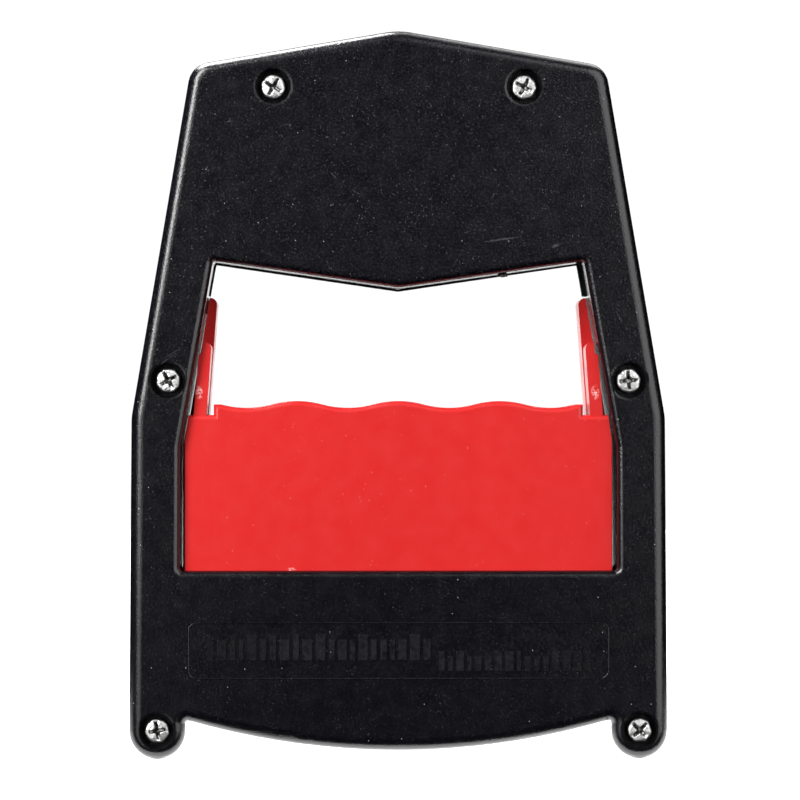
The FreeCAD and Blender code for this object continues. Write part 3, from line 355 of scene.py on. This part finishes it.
# Marks are ellipses seen along Y: x, z, half length, half width (mm), lean (degrees).
SCUFFS = (
    (-15.3, 137.3, 1.4, 0.22, -45.0),
    (-10.2, 133.5, 1.5, 0.20, -27.0),
    (24.0, 122.3, 5.2, 0.30, 8.0),
    (37.0, 120.9, 1.6, 0.45, 20.0),
    (-55.0, 93.6, 3.4, 0.16, 38.0),
    (-53.0, 95.6, 2.6, 0.14, 30.0),
    (52.0, 104.0, 2.2, 0.14, -60.0),
    (-40.0, 150.0, 1.0, 0.18, 15.0),
)
# The wording's area, where its bars and bead get patchy painted highlights.
WORDING_AREA = ((0.0, 25.5, 60.0, 20.0, 0.0),)
WORDING_HIGHLIGHT_SHADE = (0.0125, 0.0120, 0.0145)
RED_MARKS = (
    (-47.0, 86.4, 1.1, 2.0, 0.0),
    (46.5, 86.4, 1.1, 2.0, 0.0),
    (-25.3, 44.4, 1.3, 0.7, 0.0),
)
MATERIALS = {
    "case_plastic": black_plastic("black_plastic"),
    "handle_plastic": red_plastic(),
    # The screws' cross recesses carry a painted shadow.
    "zinc_screw": metal("bright_zinc", (0.62, 0.62, 0.61), (0.98, 0.98, 0.97), 0.36, scale=1100.0,
                        bump=0.00040, shadow=(-11.05, -10.55)),
    "steel": metal("rolled_steel", (0.42, 0.42, 0.43), (0.60, 0.60, 0.61), 0.35),
    "spring_steel": metal("drawn_wire", (0.20, 0.20, 0.21), (0.36, 0.36, 0.38), 0.38),
    "brass": metal("turned_brass", (0.62, 0.42, 0.14), (0.80, 0.60, 0.26), 0.28),
    "acetal": paint("acetal", (0.78, 0.77, 0.72), (0.84, 0.83, 0.79), 0.45),
    "dial_face": paint("dial_enamel", (0.80, 0.80, 0.77), (0.86, 0.86, 0.84), 0.5),
    "drive_pointer_paint": paint("pointer_black", (0.012, 0.012, 0.013), (0.02, 0.02, 0.021), 0.4),
    "peak_pointer_paint": paint("pointer_red", (0.62, 0.02, 0.02), (0.74, 0.03, 0.03), 0.4),
    "window": clear_acrylic(),
    "bezel_plastic": paint("gloss_black", (0.010, 0.010, 0.011), (0.016, 0.016, 0.018), 0.16),
}
REAR_PLASTIC = black_plastic("rear_black_plastic", SCUFFS)
INK = paint("scale_ink", (0.015, 0.015, 0.016), (0.03, 0.03, 0.031), 0.55)
# Black plastic with patchy painted highlights over the wording.
WORDING_HIGHLIGHT_PLASTIC = black_plastic("wording_highlight_black_plastic", WORDING_AREA, WORDING_HIGHLIGHT_SHADE)


def dress_nodes():
    for row in frame["record"]["subparts"]:
        mesh = NODES[row["node"]].data
        mesh.materials.clear()
        rear = row["node"] == "rear_cover"
        mesh.materials.append(REAR_PLASTIC if rear else MATERIALS[row["material_slot"]])


# ---- mesh helpers ----

def as_object(name, graph):
    """An object from a bmesh, which is used up."""
    mesh = bpy.data.meshes.new(name)
    bmesh.ops.recalc_face_normals(graph, faces=graph.faces)
    graph.to_mesh(mesh)
    graph.free()
    made = bpy.data.objects.new(name, mesh)
    scene.collection.objects.link(made)
    return made


def fix(piece, material, body):
    """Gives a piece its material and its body."""
    piece.data.materials.append(material)
    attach(piece, body)
    return piece


def add_mesh(name, graph, material, body, smooth=math.radians(35)):
    """Makes a piece from a bmesh and fixes it to a body; edges sharper than smooth stay sharp."""
    piece = as_object(name, graph)
    piece.data.shade_smooth()
    piece.data.set_sharp_from_angle(angle=smooth)
    return fix(piece, material, body)


def wall(graph, first, second):
    """A band of faces between two rings of the same number of vertices."""
    for index in range(len(first)):
        after = (index + 1) % len(first)
        graph.faces.new((first[index], first[after], second[after], second[index]))


def rounded_corners(x_low, x_high, z_low, z_high, corner, steps):
    """Points round a rectangle with rounded corners, from +X, +Z on, with this many on each corner."""
    points = []
    centres = ((x_high - corner, z_high - corner), (x_low + corner, z_high - corner),
               (x_low + corner, z_low + corner), (x_high - corner, z_low + corner))
    for quarter, (x, z) in enumerate(centres):
        for step in range(steps):
            angle = math.pi / 2 * (quarter + step / (steps - 1))
            points.append((x + corner * math.cos(angle), z + corner * math.sin(angle)))
    return points


def lathe(profile, segments=48):
    """A closed solid of revolution about local Z from (radius, z) points that start and end at radius 0."""
    graph = bmesh.new()
    rings = []
    for radius, height in profile:
        if radius == 0:
            rings.append([graph.verts.new((0, 0, height))])
            continue
        ring = []
        for step in range(segments):
            angle = 2 * math.pi * step / segments
            ring.append(graph.verts.new((radius * math.cos(angle), radius * math.sin(angle), height)))
        rings.append(ring)
    for lower, upper in zip(rings, rings[1:]):
        for step in range(segments):
            after = (step + 1) % segments
            corners = [lower[step % len(lower)], lower[after % len(lower)],
                       upper[after % len(upper)], upper[step % len(upper)]]
            graph.faces.new(list(dict.fromkeys(corners)))
    return graph


BEVEL_ANGLE = math.radians(40)


def carved(base, cutter, bevel):
    """The base less the cutter, with its edges softened, as a new bmesh; both inputs are used up."""
    cut = base.modifiers.new("cut", "BOOLEAN")
    cut.object = cutter
    cut.operation = "DIFFERENCE"
    cut.solver = "EXACT"
    soft = base.modifiers.new("soft", "BEVEL")
    soft.width = bevel
    soft.segments = 2
    soft.limit_method = "ANGLE"
    soft.angle_limit = BEVEL_ANGLE
    depsgraph = bpy.context.evaluated_depsgraph_get()
    graph = bmesh.new()
    graph.from_mesh(base.evaluated_get(depsgraph).to_mesh())
    for used in (base, cutter):
        bpy.data.objects.remove(used)
    return graph


def prism(outline, bottom, top, shrink=1.0):
    """A solid between two z levels; the outline is scaled by shrink at the bottom."""
    graph = bmesh.new()
    upper = [graph.verts.new((x, y, top)) for x, y in outline]
    lower = [graph.verts.new((x * shrink, y * shrink, bottom)) for x, y in outline]
    graph.faces.new(upper)
    graph.faces.new(lower[::-1])
    wall(graph, lower, upper)
    return graph


# ---- screws ----

# Shares of the head's radius.
HEAD_RISE = 0.62
SHANK_RADIUS = 0.48
POINT_RADIUS, POINT_RISE = 0.35, 0.4
CROSS_REACH, CROSS_HALF, CROSS_DEPTH, CROSS_TAPER = 0.93, 0.21, 0.50, 0.42
ARM_END = 0.8
UNDER_HEAD = 0.96
# The head's crown: a share of its radius, and how far it has fallen as a share of its rise.
RIM_FALL = 0.40
CROWN = ((0.985, 0.26), (0.94, 0.15), (0.86, 0.09), (0.70, 0.05), (0.45, 0.015), (0, 0))
# Millimetres.
SHANK_GAP, EDGE_THICKNESS, CROSS_CLEARANCE, SCREW_BEVEL = 0.02, 0.12, 0.2, 0.05
BURR_SIDEWAYS, BURR_DOWN = 0.07, 0.05
# The part of the rise, from the top, that the driver has dented, and the step between screws.
DENTED = 0.7
WOBBLE_STEP = 1.7


def cross_outline(arm, half):
    """A Phillips cross with arms of the given length and half width, counterclockwise."""
    points = []
    for quarter in range(4):
        turn = Matrix.Rotation(math.pi / 2 * quarter, 2)
        for x, y in ((arm, -half * ARM_END), (arm, half * ARM_END), (half, half)):
            points.append(tuple(turn @ Vector((x, y))))
    return points


def phillips_screw(low, high, outward, spin, wobble):
    """A pan-head screw filling the CAD screw's box; its head points outward, -1 for -Y."""
    head = (high.x - low.x) / 2
    length = high.y - low.y
    rise = head * HEAD_RISE
    profile = [
        (0, -length),
        (head * POINT_RADIUS, -length + head * POINT_RISE),
        (head * SHANK_RADIUS, -length + head),
        (head * SHANK_RADIUS, -rise - SHANK_GAP * MM),
        (head * UNDER_HEAD, -rise),
        (head, -rise + EDGE_THICKNESS * MM),
        (head, -rise * RIM_FALL),
    ]
    profile += [(head * radius, -rise * fall) for radius, fall in CROWN]
    base = as_object("screw_base", lathe(profile))
    outline = cross_outline(head * CROSS_REACH, head * CROSS_HALF)
    cutter = as_object("screw_cutter", prism(outline, -head * CROSS_DEPTH, CROSS_CLEARANCE * MM,
                                             CROSS_TAPER))
    graph = carved(base, cutter, SCREW_BEVEL * MM)
    for vert in graph.verts:
        if vert.co.z > -rise * DENTED:
            vert.co.x += BURR_SIDEWAYS * MM * math.sin(vert.co.y / head * 9 + wobble)
            vert.co.y += BURR_SIDEWAYS * MM * math.sin(vert.co.x / head * 8 + wobble * 2)
            dent = math.sin(vert.co.x / head * 7 + vert.co.y / head * 5 + wobble)
            vert.co.z -= BURR_DOWN * MM * abs(dent)
    axis = Vector((0, outward, 0))
    turn = axis.to_track_quat("Z", "X").to_matrix().to_4x4() @ Matrix.Rotation(spin, 4, "Z")
    top = Vector(((low.x + high.x) / 2, low.y if outward < 0 else high.y, (low.z + high.z) / 2))
    graph.transform(Matrix.Translation(top) @ turn)
    return graph


def screw_set(node, outward, body, spins):
    """Replaces a CAD screw group with detailed screws, each turned by its own angle in degrees."""
    whole = bmesh.new()
    for index, ((low, high), spin) in enumerate(zip(islands(node), spins)):
        single = phillips_screw(low, high, outward, math.radians(spin), index * WOBBLE_STEP)
        mesh = bpy.data.meshes.new("screw_part")
        single.to_mesh(mesh)
        single.free()
        whole.from_mesh(mesh)
        bpy.data.meshes.remove(mesh)
    piece = add_mesh(node + "_detailed", whole, MATERIALS["zinc_screw"], body)
    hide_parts(node)


# ---- label recess ----

LABEL_MIDDLE = (REAR_LOW.x + REAR_HIGH.x) / 2
# Millimetres.
LABEL_HALF, LABEL_LOW, LABEL_HIGH, LABEL_CORNER, LABEL_DEPTH = 49.6, 18.8, 32.3, 2.1, 0.3
BAR_RISE, BAR_ROOT, BAR_CORNER, BAR_GAP, BAR_LEAST = 0.22, 0.05, 0.28, 0.8, 0.8
# Each row of bars: first x, last x, lower z, upper z, narrowest and widest bar.
BAR_ROWS = ((-45.0, 7.6, 23.2, 29.4, 1.1, 2.6), (9.4, 45.8, 20.6, 25.4, 0.9, 2.0))
BAR_DROPS = (0.0, 1.2)
BAR_SEED = 4
CROWN_INSET = 0.35
BAR_CORNER_POINTS, RIM_CORNER_POINTS = 4, 9
BEAD_RADIUS, BEAD_ROOT, BEAD_CROWN, BEAD_STEPS = 0.18, 0.34, 0.01, 8


def raised_block(graph, x_low, x_high, z_low, z_high, y_from, y_to, round_by):
    """A softly cornered raised bar on the rear face."""
    points = rounded_corners(x_low, x_high, z_low, z_high, round_by, BAR_CORNER_POINTS)
    middle = Vector(((x_low + x_high) / 2, (z_low + z_high) / 2))
    base = [graph.verts.new((x, y_from, z)) for x, z in points]
    crown = []
    for x, z in points:
        inward = (middle - Vector((x, z))).normalized() * round_by * CROWN_INSET
        crown.append(graph.verts.new((x + inward.x, y_to, z + inward.y)))
    graph.faces.new(crown)
    graph.faces.new(base[::-1])
    wall(graph, base, crown)


def label_bars():
    """Plain raised bars of uneven width where the moulded wording would be."""
    floor_y = REAR_LOW.y + LABEL_DEPTH * MM
    graph = bmesh.new()
    draw = random.Random(BAR_SEED)
    for start, stop, z_low, z_high, narrow, wide in BAR_ROWS:
        x = start
        while x < stop:
            width = min(draw.uniform(narrow, wide), stop - x)
            if width > BAR_LEAST:
                raised_block(graph, LABEL_MIDDLE + x * MM, LABEL_MIDDLE + (x + width) * MM, z_low * MM,
                             (z_high - draw.choice(BAR_DROPS)) * MM, floor_y + BAR_ROOT * MM,
                             floor_y - BAR_RISE * MM, BAR_CORNER * MM)
            x += width + BAR_GAP
    # The bars' material paints patchy highlights on them.
    add_mesh("label_bars", graph, WORDING_HIGHLIGHT_PLASTIC, "root")


def label_rim():
    """A fine half-round bead along the inside of the label recess that catches the light."""
    rings = []
    graph = bmesh.new()
    for step in range(BEAD_STEPS + 1):
        angle = math.pi * step / BEAD_STEPS
        inset = BEAD_RADIUS * (1 - math.cos(angle))
        half = (LABEL_HALF - inset) * MM
        y = REAR_LOW.y + (BEAD_ROOT - (BEAD_ROOT - BEAD_CROWN) * math.sin(angle)) * MM
        path = rounded_corners(LABEL_MIDDLE - half, LABEL_MIDDLE + half, (LABEL_LOW + inset) * MM,
                               (LABEL_HIGH - inset) * MM, (LABEL_CORNER - inset) * MM, RIM_CORNER_POINTS)
        rings.append([graph.verts.new((x, y, z)) for x, z in path])
    for outer, inner in zip(rings, rings[1:] + rings[:1]):
        wall(graph, outer, inner)
    # The bead shares the wording's painted highlight patches.
    add_mesh("label_rim", graph, WORDING_HIGHLIGHT_PLASTIC, "root", math.pi)


# ---- springs and moulding nub ----

def main_springs():
    """The two coils on their own meshes, on the root body."""
    for node in ("left_main_spring", "right_main_spring"):
        graph = bmesh.new()
        graph.from_mesh(NODES[node].data)
        graph.transform(NODES[node].matrix_world)
        coil = add_mesh(node + "_coil", graph, MATERIALS["spring_steel"], "root")
        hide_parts(node)
        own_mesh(coil)


# Millimetres.
NUB_PLACE, NUB_REACH = Vector((24.7, -8.5, 114.15)), Vector((1.2, 1.6, 0.55))
NUB_RAGGED = 0.25


def gate_nub():
    """A torn scrap of the sprue under the top edge of the opening."""
    graph = bmesh.new()
    bmesh.ops.create_icosphere(graph, subdivisions=3, radius=1.0)
    for vert in graph.verts:
        ragged = 1 + NUB_RAGGED * math.sin(vert.co.x * 7) * math.cos(vert.co.y * 5 + vert.co.z * 3)
        reach = Vector((vert.co.x * ragged, vert.co.y, vert.co.z * ragged)) * NUB_REACH
        vert.co = (NUB_PLACE + reach) * MM
    add_mesh("gate_nub", graph, MATERIALS["case_plastic"], "root")


# ---- dial printing ----

SCALE_TOP = 130
SWEEP = math.pi
DIAL_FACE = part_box("dial_plate")[1].y
# Marks: the values that have one, its length and its width (mm), the longest first.
SCALE_MARKS = ((10, 4.2, 0.42), (5, 3.0, 0.26), (1, 1.7, 0.16))
# Millimetres.
SCALE_RADIUS, RING_WIDTH = 29.6, 0.3
INK_SUNK, INK_PROUD = 0.02, 0.04
NUMERAL_STEP = 10
NUMERAL_RADIUS, NUMERAL_SIZE, NUMERAL_EXTRUDE, NUMERAL_BOLD = 22.9, 3.5, 0.02, 0.05


def dial_spot(value, radius):
    """The place on the dial of a value, at a radius in millimetres."""
    angle = SWEEP * value / SCALE_TOP
    return PIVOT + Vector((math.cos(angle), 0, math.sin(angle))) * radius * MM


def flat_bar(graph, start, end, width):
    """A thin printed bar in the dial's plane, its width in millimetres."""
    along = (end - start).normalized()
    across = Vector((-along.z, 0, along.x)) * width * MM / 2
    layers = []
    for y in (DIAL_FACE - INK_SUNK * MM, DIAL_FACE + INK_PROUD * MM):
        layers.append([graph.verts.new(Vector((spot.x, y, spot.z)))
                       for spot in (start - across, end - across, end + across, start + across)])
    graph.faces.new(layers[0])
    graph.faces.new(layers[1][::-1])
    wall(graph, *layers)


def dial_scale():
    """The marks of the scale and the line round their outer ends."""
    graph = bmesh.new()
    for value in range(SCALE_TOP + 1):
        length, width = next(mark[1:] for mark in SCALE_MARKS if value % mark[0] == 0)
        flat_bar(graph, dial_spot(value, SCALE_RADIUS - length), dial_spot(value, SCALE_RADIUS), width)
    for value in range(SCALE_TOP):
        flat_bar(graph, dial_spot(value, SCALE_RADIUS), dial_spot(value + 1, SCALE_RADIUS), RING_WIDTH)
    add_mesh("dial_scale", graph, INK, "root")


def numeral_mesh(value):
    """A number in Blender's own font, centred on the origin in the XY plane."""
    text = bpy.data.curves.new(f"numeral_{value}", "FONT")
    text.body = str(value)
    text.size = NUMERAL_SIZE * MM
    text.align_x = "CENTER"
    text.align_y = "CENTER"
    text.extrude = NUMERAL_EXTRUDE * MM
    text.offset = NUMERAL_BOLD * MM
    holder = bpy.data.objects.new(f"numeral_holder_{value}", text)
    scene.collection.objects.link(holder)
    depsgraph = bpy.context.evaluated_depsgraph_get()
    mesh = bpy.data.meshes.new_from_object(holder.evaluated_get(depsgraph))
    bpy.data.objects.remove(holder)
    return mesh


def dial_numbers():
    """A numeral every ten units, facing +Y, with its foot towards the pivot."""
    facing = Matrix(((-1, 0, 0), (0, 0, 1), (0, 1, 0))).to_4x4()
    for value in range(0, SCALE_TOP + 1, NUMERAL_STEP):
        mesh = numeral_mesh(value)
        place = dial_spot(value, NUMERAL_RADIUS)
        place.y = DIAL_FACE + INK_SUNK * MM
        tilt = Matrix.Rotation(SWEEP / 2 - SWEEP * value / SCALE_TOP, 4, "Y")
        mesh.transform(Matrix.Translation(place) @ tilt @ facing)
        piece = bpy.data.objects.new(f"dial_numeral_{value}", mesh)
        scene.collection.objects.link(piece)
        fix(piece, INK, "root")


# ---- stage ----

FLOOR_HALF = 4.0
WORLD_STRENGTH = 1.05


def floor():
    graph = bmesh.new()
    bmesh.ops.create_grid(graph, x_segments=2, y_segments=2, size=FLOOR_HALF)
    plane = as_object("studio_floor", graph)
    plane.data.materials.append(floor_paint())
    plane.location.z = CAD_LOW.z
    plane.visible_glossy = False
    plane.visible_diffuse = False


def world():
    surroundings = bpy.data.worlds.new("white_room")
    surroundings.use_nodes = True
    backdrop = surroundings.node_tree.nodes["Background"]
    backdrop.inputs["Color"].default_value = rgba(1.0, 1.0, 1.0)
    backdrop.inputs["Strength"].default_value = WORLD_STRENGTH
    surroundings.cycles_visibility.diffuse = False
    surroundings.cycles_visibility.glossy = False
    scene.world = surroundings


def softbox(name, place, target, width, height, radiance):
    """A rectangular soft light; its power follows from the brightness its surface should have."""
    light = bpy.data.lights.new(name, "AREA")
    light.shape = "RECTANGLE"
    light.size = width
    light.size_y = height
    light.energy = radiance * width * height * math.pi
    box = bpy.data.objects.new(name, light)
    box.location = place
    aim(box, Vector(target) - Vector(place))
    box.visible_camera = False
    scene.collection.objects.link(box)


def aim(thing, direction):
    """Points a light or a camera along a direction."""
    thing.rotation_mode = "QUATERNION"
    thing.rotation_quaternion = direction.to_track_quat("-Z", "Y")


def around(azimuth, rise, distance):
    """A place at a distance from the middle; azimuth 0 is the camera's side, positive is +X."""
    turn, tilt = math.radians(azimuth), math.radians(rise)
    away = Vector((math.sin(turn) * math.cos(tilt), -math.cos(turn) * math.cos(tilt), math.sin(tilt)))
    return CENTRE + away * distance


def lights():
    """Soft boxes round the object; each has a place, a target, a width, a height and a brightness."""
    softbox("key_strip", around(-44, 31, 1.1), CENTRE, 0.36, 1.1, 18.0)
    softbox("left_card", around(-31, 0, 1.1), CENTRE, 0.48, 1.0, 1.4)
    softbox("right_card", around(46, 20, 1.1), CENTRE, 1.15, 1.5, 2.3)
    softbox("top_left_box", (-0.30, 0.22, 0.95), CENTRE, 0.6, 0.32, 26.0)
    softbox("top_right_box", (0.20, 0.22, 0.95), CENTRE, 0.4, 0.32, 2.0)
    softbox("rear_card", (0.0, 1.6, 0.15), CENTRE, 0.9, 0.7, 2.2)
    softbox("rear_left_box", around(-150, 50, 1.2), CENTRE, 0.5, 0.5, 8.0)
    softbox("rear_right_box", around(150, 50, 1.2), CENTRE, 0.5, 0.5, 4.5)
    softbox("floor_glow", (0.0, 0.037, 0.0003), (0.0, 0.037, 1.0), 0.3, 0.1, 3.2)


# The camera's place and the point it looks at, in millimetres, and its lens.
EYE, TARGET = Vector((-12.6, -750.0, 78.6)), Vector((0.5, 0.0, 84.6))
SENSOR_WIDTH, FOCAL_LENGTH = 36.0, 141.1
CLIP_START, CLIP_END = 0.05, 20.0


def camera():
    """Level with the handle and a little to the left, far enough away for little perspective."""
    lens = bpy.data.cameras.new("photo_camera")
    lens.sensor_width = SENSOR_WIDTH
    lens.lens = FOCAL_LENGTH
    lens.clip_start = CLIP_START
    lens.clip_end = CLIP_END
    eye = bpy.data.objects.new("photo_camera", lens)
    eye.location = EYE * MM
    aim(eye, TARGET - EYE)
    scene.collection.objects.link(eye)
    scene.camera = eye


REAR, FRONT = -1, 1

dress_nodes()
screw_set("case_screws", REAR, "root", (60, 62, 30, 4, 10, 45))
screw_set("handle_screws", FRONT, "handle", (5, 47, 80, 15, 60, 33))
label_bars()
label_rim()
main_springs()
gate_nub()
dial_scale()
dial_numbers()
floor()
world()
lights()
camera()
scene.view_settings.view_transform = "Standard"
